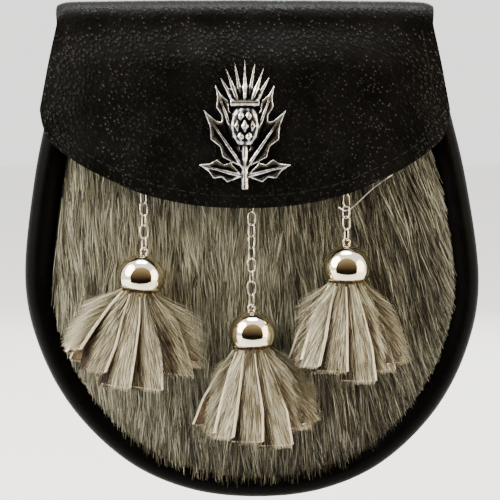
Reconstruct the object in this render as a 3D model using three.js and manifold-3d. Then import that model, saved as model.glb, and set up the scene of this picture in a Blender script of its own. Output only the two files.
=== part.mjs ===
// A semi-dress sporran: a flat leather pouch worn on a belt strap in front of a kilt.
// Millimetres, +Z up, the front looks along -Y. The origin is the strap line behind the back panel.
import * as THREE from 'three';
import { mergeVertices } from 'three/addons/utils/BufferGeometryUtils.js';
import Module from 'manifold-3d';

const wasm = await Module();
wasm.setup();

// Driving sizes.
const WIDTH = 190.2;          // widest, a little below the middle
const HEIGHT = 208.5;         // top of the flap's fold to the lowest point of the rim
const DEPTH = 32;             // inner face of the back panel to the crown of the front rim
const TOP = 0.27 * HEIGHT;    // the fold stands this far above the strap line
const LEAN = 0.0193;          // the body hangs a little out of true below its flap
const LEAN_START = 0.7;
const GAP = 0.3;              // clearance between neighbouring pieces

// Leather thicknesses and the layers from back to front, as distances forward of the back panel.
const BACK_THICK = 2.2;
const GUSSET_THICK = 2;
const FLAP_THICK = 2.6;
const LOOP_GAP = 6;
const LOOP_THICK = 2;
const HIDE_THICK = 1.9;
const ROLL = 12;              // width of the front rim
const LIP_DEPTH = DEPTH - 6;
const HIDE_FRONT = LIP_DEPTH - GAP;
const PILE = 3.7;             // height of the pelt's cushion of hair over its hide
const BACK_FACE = -LOOP_GAP / 2;
const BACK_INNER = BACK_FACE - BACK_THICK;

const HALF = WIDTH / 2;
const RIM_TOP = TOP - 0.046 * HEIGHT;
const BOTTOM = TOP - HEIGHT;
const BODY = RIM_TOP - BOTTOM;

// The flap.
const CROWN = 0.7;            // the fold stands higher in the middle than at its ends
const FLAP_HALF = 0.79 * HALF;
const FLAP_FLARE = 0.092 * HALF;
const FLAP_DROP = 0.409 * HEIGHT;
const TAIL = 0.125 * HEIGHT;
const FOLD_FRONT = 5.4;
const FOLD_BACK = 2.2;
const BULGE = 5.4;            // pile and chains press the flap's middle forward

// Chains: one size of link for all three.
const LINK_LONG = 6.3;
const LINK_WIDE = 4.1;
const LINK_WIRE = 0.65;
const LINK_PLAY = 0.2;
const PITCH = LINK_LONG - 2 * LINK_WIRE - LINK_PLAY;
const STAPLE_WIRE = 1;
const STAPLE_SPAN = 5;
const STAPLE_FORWARD = DEPTH + 0.6;

// Tassel domes.
const DOME = 9.75;            // outer radius
const DOME_WALL = 0.8;
const DOME_CUT = 0.47 * DOME;    // the mouth lies this far below the centre
const EYE = 1.35;
const EYE_WIRE = 0.75;
const EYE_RISE = 0.1 * DOME;    // its centre stands this far above the dome
const DOME_FORWARD = HIDE_FRONT + PILE + DOME + 1.3;

// Badge.
const BADGE_WIDE = 38.5;
const BADGE_TALL = 54.5;
const BADGE_DROP = 0.241;
const POST = 0.8;

// The right half of the body's outline, top to bottom.
// half: share of half the width, drop: share of the body's height below its top.
const OUTLINE = [
  { half: 0.8, drop: 0 },
  { half: 0.864, drop: 0.147 },
  { half: 0.947, drop: 0.324 },
  { half: 1.0, drop: 0.532 },
  { half: 0.947, drop: 0.678 },
  { half: 0.802, drop: 0.813 },
  { half: 0.567, drop: 0.924 },
  { half: 0.298, drop: 0.983 },
  { half: 0, drop: 1 },
];

// Section of the gusset and rim. inset: share of the rim's width, forward: share of the depth.
const RIM_SECTION = [
  { inset: 0, forward: 0.004 },
  { inset: 0, forward: 0.7 },
  { inset: 0.06, forward: 0.85 },
  { inset: 0.2, forward: 0.95 },
  { inset: 0.43, forward: 1 },
  { inset: 0.7, forward: 0.965 },
  { inset: 0.92, forward: 0.88 },
  { inset: 1, forward: LIP_DEPTH / DEPTH },
  { inset: 0.86, forward: LIP_DEPTH / DEPTH },
  { inset: 0.73, forward: 0.885 },
  { inset: 0.43, forward: 0.932 },
  { inset: 0.26, forward: 0.87 },
  { inset: GUSSET_THICK / ROLL, forward: 0.69 },
  { inset: GUSSET_THICK / ROLL, forward: 0.065 },
  { inset: 0.75, forward: 0.065 },
  { inset: 0.75, forward: 0.004 },
];

// Lower edge of the flap. across: share of its half width, drop: share of its full drop.
const FLAP_EDGE = [
  { across: 0, drop: 1 },
  { across: 0.15, drop: 0.995 },
  { across: 0.3, drop: 0.978 },
  { across: 0.5, drop: 0.932 },
  { across: 0.66, drop: 0.865 },
  { across: 0.82, drop: 0.782 },
  { across: 0.95, drop: 0.68 },
  { across: 0.985, drop: 0.607 },
  { across: 1, drop: 0.53 },
];

// The tassels. x: dome's place as a share of half the width, top: place of its chain's upper end,
// drop: dome's centre as a share of the height, links: chain length, roll: lean to the side in
// degrees, wide, deep, back and long: the skirt's half width, half depth in front and on the
// pelt, and length, in dome radii. lift: the strips are of one length, so the hem rises at the
// sides by this much.
const TASSELS = [
  { name: 'left', x: -0.449, top: -0.441, drop: 0.5455, links: 7, tilt: 1, roll: -7,
    wide: 2.72, deep: 1.2, back: 0.91, long: 4.6, lift: 1.2, strips: 12, turn: 4, twist: 8 },
  { name: 'middle', x: 0.033, top: 0.028, drop: 0.658, links: 11, tilt: 1, roll: 2.5,
    wide: 2.36, deep: 1.15, back: 0.87, long: 4.62, lift: 0.72, strips: 11, turn: 12, twist: -14 },
  { name: 'right', x: 0.44, top: 0.439, drop: 0.5275, links: 5, tilt: 1, roll: 0.5,
    wide: 2.26, deep: 1.15, back: 0.87, long: 4.58, lift: 0.72, strips: 11, turn: 3, twist: 16 },
];
const CHAIN_TURN = 34;        // the chains' flat faces are turned this far from the front
const SHINGLE = 1.4;          // one edge of each strip stands out over its neighbour

// One strip of a skirt, head to hem. flare: share of the way out to the hem's size,
// down: share of the length, wide and thick: half sizes in dome radii.
const STRIP = [
  { flare: 0.03, down: 0.06, wide: 0.19, thick: 0.08 },
  { flare: 0.4, down: 0.34, wide: 0.42, thick: 0.14 },
  { flare: 0.75, down: 0.68, wide: 0.6, thick: 0.15 },
  { flare: 1, down: 1, wide: 0.67, thick: 0.07 },
];

let seed = 11;
function random() {
  seed = (seed * 16807) % 2147483647;
  return seed / 2147483647;
}

function mix(a, b, share) {
  return a + (b - a) * share;
}

// Drops the shading data and joins equal corners, so that the mesh closes.
function welded(geometry) {
  const plain = geometry.clone();
  plain.deleteAttribute('normal');
  plain.deleteAttribute('uv');
  return mergeVertices(plain, 1e-4);
}

// Turns a closed mesh right side out.
function outward(geometry) {
  const p = geometry.getAttribute('position');
  const index = geometry.getIndex();
  const a = new THREE.Vector3();
  const b = new THREE.Vector3();
  const c = new THREE.Vector3();
  let volume = 0;
  for (let i = 0; i < index.count; i += 3) {
    a.fromBufferAttribute(p, index.getX(i));
    b.fromBufferAttribute(p, index.getX(i + 1));
    c.fromBufferAttribute(p, index.getX(i + 2));
    volume += a.dot(b.cross(c));
  }
  if (volume < 0) {
    for (let i = 0; i < index.count; i += 3) {
      const first = index.getX(i);
      index.setX(i, index.getX(i + 1));
      index.setX(i + 1, first);
    }
  }
  return geometry;
}

function meshOf(points, faces) {
  const geometry = new THREE.BufferGeometry();
  geometry.setAttribute('position', new THREE.Float32BufferAttribute(points, 3));
  geometry.setIndex(faces);
  return outward(mergeVertices(geometry, 1e-4));
}

// A skin over rings of corners with equal counts. Ends are closed by the flat contour, or the
// last ring is joined to the first.
function loft(rings, contour) {
  const count = rings[0].length;
  const points = rings.flat().flatMap((corner) => [corner.x, corner.y, corner.z]);
  const faces = [];
  const spans = contour ? rings.length - 1 : rings.length;
  for (let r = 0; r < spans; r += 1) {
    const here = r * count;
    const next = ((r + 1) % rings.length) * count;
    for (let i = 0; i < count; i += 1) {
      const j = (i + 1) % count;
      faces.push(here + i, here + j, next + j, here + i, next + j, next + i);
    }
  }
  if (contour) {
    const last = (rings.length - 1) * count;
    const turned = THREE.ShapeUtils.area(contour) < 0;
    for (const [a, p, q] of THREE.ShapeUtils.triangulateShape(contour, [])) {
      const [b, c] = turned ? [q, p] : [p, q];
      faces.push(a, c, b, last + a, last + b, last + c);
    }
  }
  return meshOf(points, faces);
}

// A sheet with an inner and an outer grid of corners, joined round its edge.
function slab(inner, outer) {
  const rows = inner.length;
  const columns = inner[0].length;
  const points = [...inner.flat(), ...outer.flat()].flatMap((c) => [c.x, c.y, c.z]);
  const faces = [];
  const at = (row, column, side) => side * rows * columns + row * columns + column;
  const quad = (a, b, c, d) => faces.push(a, b, c, a, c, d);
  for (let r = 0; r < rows - 1; r += 1) {
    for (let c = 0; c < columns - 1; c += 1) {
      quad(at(r, c, 0), at(r, c + 1, 0), at(r + 1, c + 1, 0), at(r + 1, c, 0));
      quad(at(r, c, 1), at(r + 1, c, 1), at(r + 1, c + 1, 1), at(r, c + 1, 1));
    }
  }
  for (let r = 0; r < rows - 1; r += 1) {
    const end = columns - 1;
    quad(at(r, 0, 0), at(r + 1, 0, 0), at(r + 1, 0, 1), at(r, 0, 1));
    quad(at(r, end, 0), at(r, end, 1), at(r + 1, end, 1), at(r + 1, end, 0));
  }
  for (let c = 0; c < columns - 1; c += 1) {
    const end = rows - 1;
    quad(at(0, c, 0), at(0, c, 1), at(0, c + 1, 1), at(0, c + 1, 0));
    quad(at(end, c, 0), at(end, c + 1, 0), at(end, c + 1, 1), at(end, c, 1));
  }
  return meshOf(points, faces);
}

function toSolid(geometry) {
  const closed = outward(welded(geometry));
  const vertProperties = new Float32Array(closed.getAttribute('position').array);
  const triVerts = new Uint32Array(closed.getIndex().array);
  const mesh = new wasm.Mesh({ numProp: 3, vertProperties, triVerts });
  mesh.merge();
  return new wasm.Manifold(mesh);
}

function fromSolid(solid) {
  const mesh = solid.getMesh();
  const geometry = new THREE.BufferGeometry();
  geometry.setAttribute('position', new THREE.Float32BufferAttribute(mesh.vertProperties, 3));
  geometry.setIndex(Array.from(mesh.triVerts));
  return geometry;
}

function fused(geometries) {
  return geometries.map(toSolid).reduce((sum, piece) => sum.add(piece));
}

// Leans the body's pieces sideways as one.
function leaned(geometry) {
  const p = geometry.getAttribute('position');
  for (let i = 0; i < p.count; i += 1) {
    p.setX(i, p.getX(i) + leanAt(p.getZ(i)));
  }
  return geometry;
}

function leanAt(z) {
  return LEAN_START + LEAN * (TOP - z);
}

// Distance forward of the back panel's inner face, as a coordinate.
function forward(distance) {
  return BACK_INNER - distance;
}

const rightHalf = OUTLINE.map((row) => new THREE.Vector2(row.half * HALF, RIM_TOP - row.drop * BODY));
const leftHalf = rightHalf.slice(0, -1).map((corner) => new THREE.Vector2(-corner.x, corner.y));
const outlineCurve = new THREE.SplineCurve([...leftHalf, ...rightHalf.reverse()]);

// Corners along the body's outline at some distance inside it, from the left top to the right top.
function outline(inset, count) {
  const corners = [];
  for (let i = 0; i <= count; i += 1) {
    const place = outlineCurve.getPointAt(i / count);
    const along = outlineCurve.getTangentAt(i / count);
    const inward = new THREE.Vector2(-along.y, along.x);
    if (i === 0) inward.set(1, 0);
    if (i === count) inward.set(-1, 0);
    corners.push(place.addScaledVector(inward, inset));
  }
  return corners;
}

// A flat plate in the front plane from one distance forward to another.
function plate(contour, from, to) {
  const shape = new THREE.Shape(contour);
  const geometry = new THREE.ExtrudeGeometry(shape, { depth: to - from, bevelEnabled: false });
  return welded(geometry.rotateX(Math.PI / 2).translate(0, forward(from), 0));
}

const group = new THREE.Group();
group.name = 'sporran';

const leather = new THREE.MeshStandardMaterial({ color: 0x15130f, roughness: 0.5 });
const grained = new THREE.MeshStandardMaterial({ color: 0x1b1917, roughness: 0.55 });
const fur = new THREE.MeshStandardMaterial({ color: 0x7d7862, roughness: 0.95 });
const tasselFur = new THREE.MeshStandardMaterial({ color: 0xc9bd9f, roughness: 0.95 });
const polished = new THREE.MeshStandardMaterial({ color: 0xd8d6d0, roughness: 0.12, metalness: 1 });
const antique = new THREE.MeshStandardMaterial({ color: 0xa9a8a4, roughness: 0.4, metalness: 1 });

function add(name, geometry, material) {
  const mesh = new THREE.Mesh(geometry, material.clone());
  mesh.name = name;
  group.add(mesh);
}

// The top edge of the flap's inner face. It follows the crown of the fold.
function foldTop(across) {
  return TOP - FLAP_THICK - CROWN * across * across;
}

// Back panel: flat leather, its top edge follows the fold.
const backCorners = outline(GAP, 36);
const shoulder = FLAP_HALF * 0.96;
for (let i = 0; i <= 10; i += 1) {
  const across = 1 - i / 5;
  const square = Math.abs(across) === 1 ? 3 : 0;
  const z = foldTop(across) - FOLD_BACK - square;
  backCorners.push(new THREE.Vector2(shoulder * across, z));
}
add('back_panel', leaned(plate(backCorners, -BACK_THICK, 0)), leather);

// Side rim: the gusset, flanged on the back panel and rolled over to the front.
const railPlaces = outline(0, 36);
const railDeeper = outline(ROLL, 36);
const rimRings = railPlaces.map((place, i) => RIM_SECTION.map((row) => {
  const corner = place.clone().lerp(railDeeper[i], row.inset);
  return new THREE.Vector3(corner.x, forward(GAP * 0.3 + row.forward * DEPTH), corner.y);
}));
const rimContour = RIM_SECTION.map((row) => new THREE.Vector2(row.inset * ROLL, row.forward * DEPTH));
add('side_rim', leaned(loft(rimRings, rimContour)), leather);

// Flap: one sheet from the back, over the mouth and down the front.
function flapHalf(z) {
  return FLAP_HALF + FLAP_FLARE * Math.min(1, Math.max(0, (TOP - z) / (FLAP_DROP * 0.53)));
}

function bulgeAt(across, z) {
  const share = THREE.MathUtils.smoothstep(TOP - FLAP_THICK - FOLD_FRONT - z, 0, 0.1 * HEIGHT);
  return BULGE * share * (1 - Math.abs(across) ** 3);
}

const flapAcross = [...FLAP_EDGE].reverse().map((row) => -row.across);
flapAcross.push(...FLAP_EDGE.slice(1).map((row) => row.across));
const FLAP_BACK = BACK_FACE + 0.2;
const FLAP_FRONT = forward(DEPTH + 0.5);

function flapColumn(across, drop, offset) {
  const top = foldTop(across);
  const corners = [];
  const tailHalf = FLAP_HALF * 0.93;
  const tailEnd = TOP - TAIL + 3 * across ** 6;
  corners.push(new THREE.Vector3(tailHalf * across, FLAP_BACK + offset, tailEnd));
  corners.push(new THREE.Vector3(tailHalf * across, FLAP_BACK + offset, mix(tailEnd, top, 0.6)));
  for (let i = 0; i <= 2; i += 1) {
    const angle = (i / 2) * (Math.PI / 2);
    const radius = FOLD_BACK + offset;
    const y = FLAP_BACK - FOLD_BACK + radius * Math.cos(angle);
    const z = top - FOLD_BACK + radius * Math.sin(angle);
    corners.push(new THREE.Vector3(mix(tailHalf, FLAP_HALF, i / 2) * across, y, z));
  }
  for (let i = 0; i <= 4; i += 1) {
    const angle = (i / 4) * (Math.PI / 2);
    const radius = FOLD_FRONT + offset;
    const y = FLAP_FRONT + FOLD_FRONT - radius * Math.sin(angle);
    const z = top - FOLD_FRONT + radius * Math.cos(angle);
    corners.push(new THREE.Vector3(flapHalf(z) * across, y, z));
  }
  const start = top - FOLD_FRONT;
  for (const share of [0.16, 0.36, 0.6, 0.82, 1]) {
    const z = mix(start, TOP - drop * FLAP_DROP, share);
    const y = FLAP_FRONT - bulgeAt(across, z) - offset;
    corners.push(new THREE.Vector3(flapHalf(z) * across, y, z));
  }
  return corners;
}

const dropOf = new Map(FLAP_EDGE.map((row) => [row.across, row.drop]));
const flapInner = flapAcross.map((a) => flapColumn(a, dropOf.get(Math.abs(a)), 0));
const flapOuter = flapAcross.map((a) => flapColumn(a, dropOf.get(Math.abs(a)), FLAP_THICK));
const badgeZ = TOP - BADGE_DROP * HEIGHT;
const postPlaces = [badgeZ + 0.16 * BADGE_TALL, badgeZ - 0.26 * BADGE_TALL];
const badgeBack = FLAP_FRONT - BULGE - FLAP_THICK - GAP;
let flapSolid = toSolid(slab(flapInner, flapOuter));
for (const z of postPlaces) {
  const drill = new THREE.CylinderGeometry(POST + GAP, POST + GAP, 30, 12);
  flapSolid = flapSolid.subtract(toSolid(drill.translate(0, badgeBack, z)));
}
add('flap', fromSolid(flapSolid), grained);

// Badge: a cast thistle with leaves, pierced between its parts. A table row is a leaf:
// from and rise: its root, long and wide: its size, aim: its direction, all shares of the badge.
const LEAVES = [
  { from: 0.02, rise: -0.33, long: 0.56, wide: 0.2, aim: 50 },
  { from: 0.02, rise: -0.4, long: 0.42, wide: 0.16, aim: 12 },
  { from: 0.1, rise: -0.1, long: 0.43, wide: 0.13, aim: 66 },
];
const SPIKES = 7;
const DRAWN_TALL = 54.5;      // the badge is drawn this tall and then brought to its size

function leaf(row, side) {
  const long = row.long * DRAWN_TALL;
  const wide = row.wide * DRAWN_TALL;
  const upper = [];
  const teeth = 3;
  for (let i = 1; i <= teeth; i += 1) {
    const notch = (i - 0.55) / teeth;
    const tooth = i / teeth;
    const swell = (share) => wide * 0.5 * Math.sin(Math.PI * (0.12 + 0.86 * share)) ** 0.8;
    upper.push(new THREE.Vector2(notch * long * 0.92, 0.62 * swell(notch)));
    if (i < teeth) upper.push(new THREE.Vector2(tooth * long * 0.92, swell(tooth * 0.9)));
  }
  const lower = upper.map((corner) => new THREE.Vector2(corner.x, -corner.y)).reverse();
  const shape = new THREE.Shape([new THREE.Vector2(0, 0.06 * wide), ...upper,
    new THREE.Vector2(long, 0), ...lower, new THREE.Vector2(0, -0.06 * wide)]);
  const blade = new THREE.ExtrudeGeometry(shape, { depth: 1.7, bevelEnabled: false });
  const rib = new THREE.CylinderGeometry(0.25, 1.1, long * 0.96, 5).rotateZ(-Math.PI / 2);
  rib.translate(long * 0.46, 0, 1.7);
  return [blade, rib].map((piece) => {
    piece.rotateZ(THREE.MathUtils.degToRad(row.aim));
    piece.translate(row.from * DRAWN_TALL, row.rise * DRAWN_TALL, 0);
    return piece.scale(side, 1, 1);
  });
}

// Built flat, face along +Z of its own, then stood up on the flap.
const badgePieces = [];
for (const row of LEAVES) {
  badgePieces.push(...leaf(row, 1), ...leaf(row, -1));
}
const bulb = new THREE.SphereGeometry(1, 10, 6).scale(8.2, 9.2, 4.6).translate(0, -1, 0.6);
badgePieces.push(bulb);
for (const [row, count] of [[0, 2], [1, 3], [2, 2]]) {
  for (let i = 0; i < count; i += 1) {
    const x = (i - (count - 1) / 2) * 3.9;
    const y = -5.4 + row * 4.1;
    const height = 0.6 + 4.6 * Math.sqrt(Math.max(0, 1 - (x / 8.2) ** 2 - ((y + 1) / 9.2) ** 2));
    const scale = new THREE.OctahedronGeometry(1).scale(2, 2.4, 0.9).translate(x, y, height);
    badgePieces.push(scale);
  }
}
const collar = new THREE.CylinderGeometry(2, 2, 14.5, 8).rotateZ(Math.PI / 2).scale(1, 0.9, 1);
badgePieces.push(collar.translate(0, 8.2, 2));
for (let i = 0; i < SPIKES; i += 1) {
  const swing = mix(-1, 1, i / (SPIKES - 1));
  const long = 19.5 - 4.5 * swing * swing;
  const spike = new THREE.ConeGeometry(2.1, long, 5).scale(1, 1, 0.8).translate(0, long / 2, 0);
  spike.rotateZ(-swing * 0.62).translate(swing * 4.6, 7.8, 1.7 + 0.5 * (i % 2));
  badgePieces.push(spike);
}
const stem = new THREE.CylinderGeometry(1.5, 2, DRAWN_TALL * 0.36, 6);
badgePieces.push(stem.translate(0, -DRAWN_TALL * 0.32, 1.5));
const badgeFlat = fused(badgePieces);
const slicer = new THREE.BoxGeometry(200, 200, 40).translate(0, 0, 20);
const badgeCast = fromSolid(badgeFlat.intersect(toSolid(slicer)));
badgeCast.computeBoundingBox();
const badgeSize = badgeCast.boundingBox.getSize(new THREE.Vector3());
badgeCast.scale(BADGE_WIDE / badgeSize.x, BADGE_TALL / badgeSize.y, BADGE_TALL / DRAWN_TALL);
let badgeSolid = toSolid(badgeCast);
const postRise = 0.022 * BADGE_TALL;
const postLong = FLAP_THICK + 0.062 * BADGE_TALL;
for (const z of postPlaces) {
  const post = new THREE.CylinderGeometry(POST, POST, postLong, 8).rotateX(Math.PI / 2);
  badgeSolid = badgeSolid.add(toSolid(post.translate(0, z - badgeZ, postRise - postLong / 2)));
}
const badge = fromSolid(badgeSolid).rotateX(Math.PI / 2);
add('badge', badge.translate(0, badgeBack, badgeZ), antique);

// Hidden stud under the flap, set on the pelt's hide.
const STUD = 5;
const studLong = -badgeBack - FLAP_THICK + forward(HIDE_FRONT) - 3 * GAP;
const studZ = badgeZ - 0.05 * BADGE_TALL;
const stud = new THREE.CylinderGeometry(STUD, STUD, studLong, 16);
add('flap_stud', welded(stud.translate(0, forward(HIDE_FRONT) - GAP - studLong / 2, studZ)), polished);

// Strap loops: hat-shaped strips on the back, open from side to side.
const LOOP_WIDE = 20;
const LOOP_OPEN = 13;         // half the height of the opening
const LOOP_FOOT = 24.5;
const footTop = BACK_FACE + GAP * 0.5 + LOOP_THICK;
const crownTop = -BACK_FACE + LOOP_THICK;
const HAT = [
  [LOOP_FOOT, BACK_FACE + GAP * 0.5], [LOOP_FOOT, footTop], [LOOP_OPEN + 4, footTop],
  [LOOP_OPEN + 2.2, footTop + 1.2], [LOOP_OPEN + 1, crownTop - 1], [LOOP_OPEN - 0.6, crownTop],
];
const HAT_INNER = [
  [LOOP_OPEN - 1, -BACK_FACE], [LOOP_OPEN - 0.2, -BACK_FACE - 0.6],
  [LOOP_OPEN + 0.7, BACK_FACE + GAP * 0.5 + 0.8], [LOOP_OPEN + 1.6, BACK_FACE + GAP * 0.5],
];
const hatRight = HAT.map(([z, y]) => new THREE.Vector2(z, y));
const hatInner = HAT_INNER.map(([z, y]) => new THREE.Vector2(z, y));
const flip = (corner) => new THREE.Vector2(-corner.x, corner.y);
const hatContour = [...hatRight, ...[...hatRight].reverse().map(flip),
  ...hatInner.slice().reverse().map(flip), ...hatInner];
const hatLoop = [...hatRight, ...[...hatRight].reverse().map(flip),
  ...hatInner.map(flip).reverse(), ...hatInner];
for (const [name, side] of [['left', -1], ['right', 1]]) {
  const ends = [-LOOP_WIDE / 2, LOOP_WIDE / 2].map((x) => hatLoop.map(
    (corner) => new THREE.Vector3(side * 0.4 * HALF + x, corner.y, corner.x),
  ));
  add(`strap_loop_${name}`, loft(ends, hatContour), leather);
}

// A closed link of round wire, long along Z, its flat face along Y.
function link() {
  const straight = (LINK_LONG - LINK_WIDE) / 2;
  const bend = (LINK_WIDE - LINK_WIRE) / 2;
  const rings = [];
  for (let i = 0; i < 10; i += 1) {
    const angle = (i / 10) * Math.PI * 2;
    const out = new THREE.Vector3(Math.cos(angle), 0, Math.sin(angle));
    const place = out.clone().multiplyScalar(bend);
    if (Math.abs(place.z) > 0.01) place.z += Math.sign(place.z) * straight;
    const ring = [];
    for (let k = 0; k < 5; k += 1) {
      const turn = (k / 5) * Math.PI * 2;
      const corner = place.clone().addScaledVector(out, (LINK_WIRE / 2) * Math.cos(turn));
      corner.y += (LINK_WIRE / 2) * Math.sin(turn);
      ring.push(corner);
    }
    rings.push(ring);
  }
  return loft(rings, null);
}

// A round wire through a few places.
function wire(places, radius, steps) {
  const section = new THREE.Shape();
  for (let k = 0; k < 5; k += 1) {
    const turn = (k / 5) * Math.PI * 2;
    const corner = [radius * Math.cos(turn), radius * Math.sin(turn)];
    if (k === 0) section.moveTo(...corner);
    else section.lineTo(...corner);
  }
  const extrudePath = new THREE.CatmullRomCurve3(places, false, 'centripetal');
  return welded(new THREE.ExtrudeGeometry(section, { steps, extrudePath }));
}

const drills = [];
let tieJoint = null;
function drillHide(x, z, radius) {
  const drill = new THREE.CylinderGeometry(radius, radius, 14, 8);
  drills.push(toSolid(drill.translate(x, forward(HIDE_FRONT), z)));
}

// One tassel hangs from a staple by its chain. Its own frame: dome's centre, axis along Z.
for (const row of TASSELS) {
  const tilt = THREE.MathUtils.degToRad(row.tilt);
  const lean = THREE.MathUtils.degToRad(row.roll);
  const centre = new THREE.Vector3(row.x * HALF, forward(DOME_FORWARD), TOP - row.drop * HEIGHT);
  const place = new THREE.Matrix4().makeRotationFromEuler(new THREE.Euler(-tilt, -lean, 0, 'YXZ'));
  place.setPosition(centre);
  const eyeCentre = new THREE.Vector3(0, 0, DOME + EYE_RISE).applyMatrix4(place);

  // Chain, from the eye up to the staple.
  const firstDrop = LINK_LONG / 2 - LINK_WIRE - (STAPLE_WIRE + LINK_PLAY) / 2;
  const lastDrop = LINK_LONG / 2 - LINK_WIRE + EYE - EYE_WIRE / 2 - LINK_PLAY / 2;
  const length = firstDrop + PITCH * (row.links - 1) + lastDrop;
  const aside = row.top * HALF - eyeCentre.x;
  const behind = forward(STAPLE_FORWARD) - eyeCentre.y;
  const rise = Math.sqrt(length ** 2 - aside ** 2 - behind ** 2);
  const head = new THREE.Vector3(aside, behind, rise).add(eyeCentre);
  const down = eyeCentre.clone().sub(head).normalize();
  const hang = new THREE.Quaternion().setFromUnitVectors(new THREE.Vector3(0, 0, -1), down);
  for (let i = 0; i < row.links; i += 1) {
    const settle = (row.twist * Math.sin(i * 0.9 + 0.35)) * Math.min(1, i / 2);
    const turn = THREE.MathUtils.degToRad((i % 2 === 0 ? 90 : 0) + CHAIN_TURN + settle);
    const spin = new THREE.Quaternion().setFromAxisAngle(new THREE.Vector3(0, 0, 1), turn);
    const one = link().applyQuaternion(spin).applyQuaternion(hang);
    const at = head.clone().addScaledVector(down, firstDrop + i * PITCH);
    add(`link_${row.name}_${i + 1}`, one.translate(at.x, at.y, at.z), polished);
    if (row.name === 'right' && i === 2) tieJoint = at.clone();
  }

  // Staple through the hide.
  const reachBack = forward(HIDE_FRONT - HIDE_THICK - 1);
  const half = STAPLE_SPAN / 2;
  const staplePlaces = [[-half, reachBack], [-half, mix(reachBack, head.y, 0.5)],
    [-half, head.y + 1.2], [-half + 0.9, head.y + 0.1], [0, head.y], [half - 0.9, head.y + 0.1],
    [half, head.y + 1.2], [half, mix(reachBack, head.y, 0.5)], [half, reachBack]];
  const staple = staplePlaces.map(([x, y]) => new THREE.Vector3(head.x + x, y, head.z));
  add(`chain_staple_${row.name}`, wire(staple, STAPLE_WIRE / 2, 11), polished);
  drillHide(head.x - half, head.z, STAPLE_WIRE / 2 + GAP);
  drillHide(head.x + half, head.z, STAPLE_WIRE / 2 + GAP);

  // Dome: a hollow cup with its eye.
  const profile = [];
  const inner = DOME - DOME_WALL;
  const innerEnd = Math.acos(-DOME_CUT / inner);
  const outerEnd = Math.acos(-DOME_CUT / DOME);
  for (let i = 0; i <= 3; i += 1) {
    const angle = (i / 3) * innerEnd;
    profile.push(new THREE.Vector2(inner * Math.sin(angle), inner * Math.cos(angle)));
  }
  for (let i = 6; i >= 0; i -= 1) {
    const angle = (i / 6) * outerEnd;
    profile.push(new THREE.Vector2(DOME * Math.sin(angle), DOME * Math.cos(angle)));
  }
  profile[0].x = 0;
  profile[profile.length - 1].x = 0;
  const cup = outward(welded(new THREE.LatheGeometry(profile, 14).rotateX(Math.PI / 2)));
  const eye = new THREE.TorusGeometry(EYE, EYE_WIRE / 2, 4, 8).rotateX(Math.PI / 2);
  const dome = fromSolid(toSolid(cup).add(toSolid(eye.translate(0, 0, DOME + EYE_RISE))));
  add(`tassel_dome_${row.name}`, dome.applyMatrix4(place), polished);

  // Skirt: strips of hide with the hair on, fused to a head inside the dome.
  const collarHalf = Math.sqrt(inner ** 2 - DOME_CUT ** 2) - GAP;
  const knobHalf = collarHalf - 0.12 * DOME;
  const knob = new THREE.CylinderGeometry(knobHalf, knobHalf, 0.72 * DOME, 12);
  let skirt = toSolid(knob.rotateX(Math.PI / 2).translate(0, 0, -DOME_CUT + 0.23 * DOME));
  for (let s = 0; s < row.strips; s += 1) {
    const angle = ((s + 0.5) / row.strips) * Math.PI * 2 + THREE.MathUtils.degToRad(row.turn);
    const outerRow = s % 2 === 0 ? 1 : 0.86;
    const hem = DOME * (row.long * (0.93 + 0.09 * random()) - row.lift * Math.cos(angle) ** 2);
    const rings = STRIP.map((part) => {
      const flare = part.flare * outerRow;
      const rx = mix(collarHalf - 0.14 * DOME, (row.wide - 0.2) * DOME, flare);
      const deep = angle < Math.PI ? row.back : row.deep;
      const ry = mix(collarHalf - 0.14 * DOME, (deep - 0.1) * DOME, flare);
      const mid = new THREE.Vector3(rx * Math.cos(angle), ry * Math.sin(angle), 0);
      mid.z = -DOME_CUT + 0.14 * DOME - part.down * (hem - DOME_CUT + 0.14 * DOME);
      const across = new THREE.Vector3(-rx * Math.sin(angle), ry * Math.cos(angle), 0).normalize();
      const out = new THREE.Vector3(across.y, -across.x, 0);
      const spread = part.wide * DOME * (0.9 + 0.2 * random());
      return [[-1, 0], [0, 1.1], [1, 0], [0, -0.9]].map(([a, o]) => (
        mid.clone().addScaledVector(across, a * spread)
          .addScaledVector(out, o * part.thick * DOME + a * part.flare * SHINGLE)
      ));
    });
    const contour = [[-1, 0], [0, 1.1], [1, 0], [0, -0.9]].map(
      ([a, o]) => new THREE.Vector2(a, o),
    );
    skirt = skirt.add(toSolid(loft(rings, contour)));
  }
  add(`tassel_skirt_${row.name}`, fromSolid(skirt).applyMatrix4(place), tasselFur);
}

// Tie wire: through the right chain and up under the flap, its end pushed through the hide.
const TIE_WIRE = 0.5;
const knot = tieJoint;
const tuck = new THREE.Vector3(0.64 * HALF, forward(HIDE_FRONT - HIDE_THICK - 1), TOP - 0.345 * HEIGHT);
const tiePlaces = [
  new THREE.Vector3(knot.x - 3.2, knot.y - 1.6, knot.z + 1.9),
  new THREE.Vector3(knot.x - 1.2, knot.y - 0.9, knot.z + 0.5),
  knot.clone(),
  new THREE.Vector3(knot.x + 2, knot.y + 0.2, knot.z + 1.2),
  new THREE.Vector3(mix(knot.x, tuck.x, 0.6), knot.y + 0.6, mix(knot.z, tuck.z, 0.66)),
  new THREE.Vector3(tuck.x - 0.8, knot.y + 1.2, tuck.z - 0.3),
  new THREE.Vector3(tuck.x, knot.y + 2.6, tuck.z),
  tuck,
];
add('tie_wire', wire(tiePlaces, TIE_WIRE / 2, 14), polished);
drillHide(tuck.x, tuck.z, TIE_WIRE / 2 + GAP);

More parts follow.
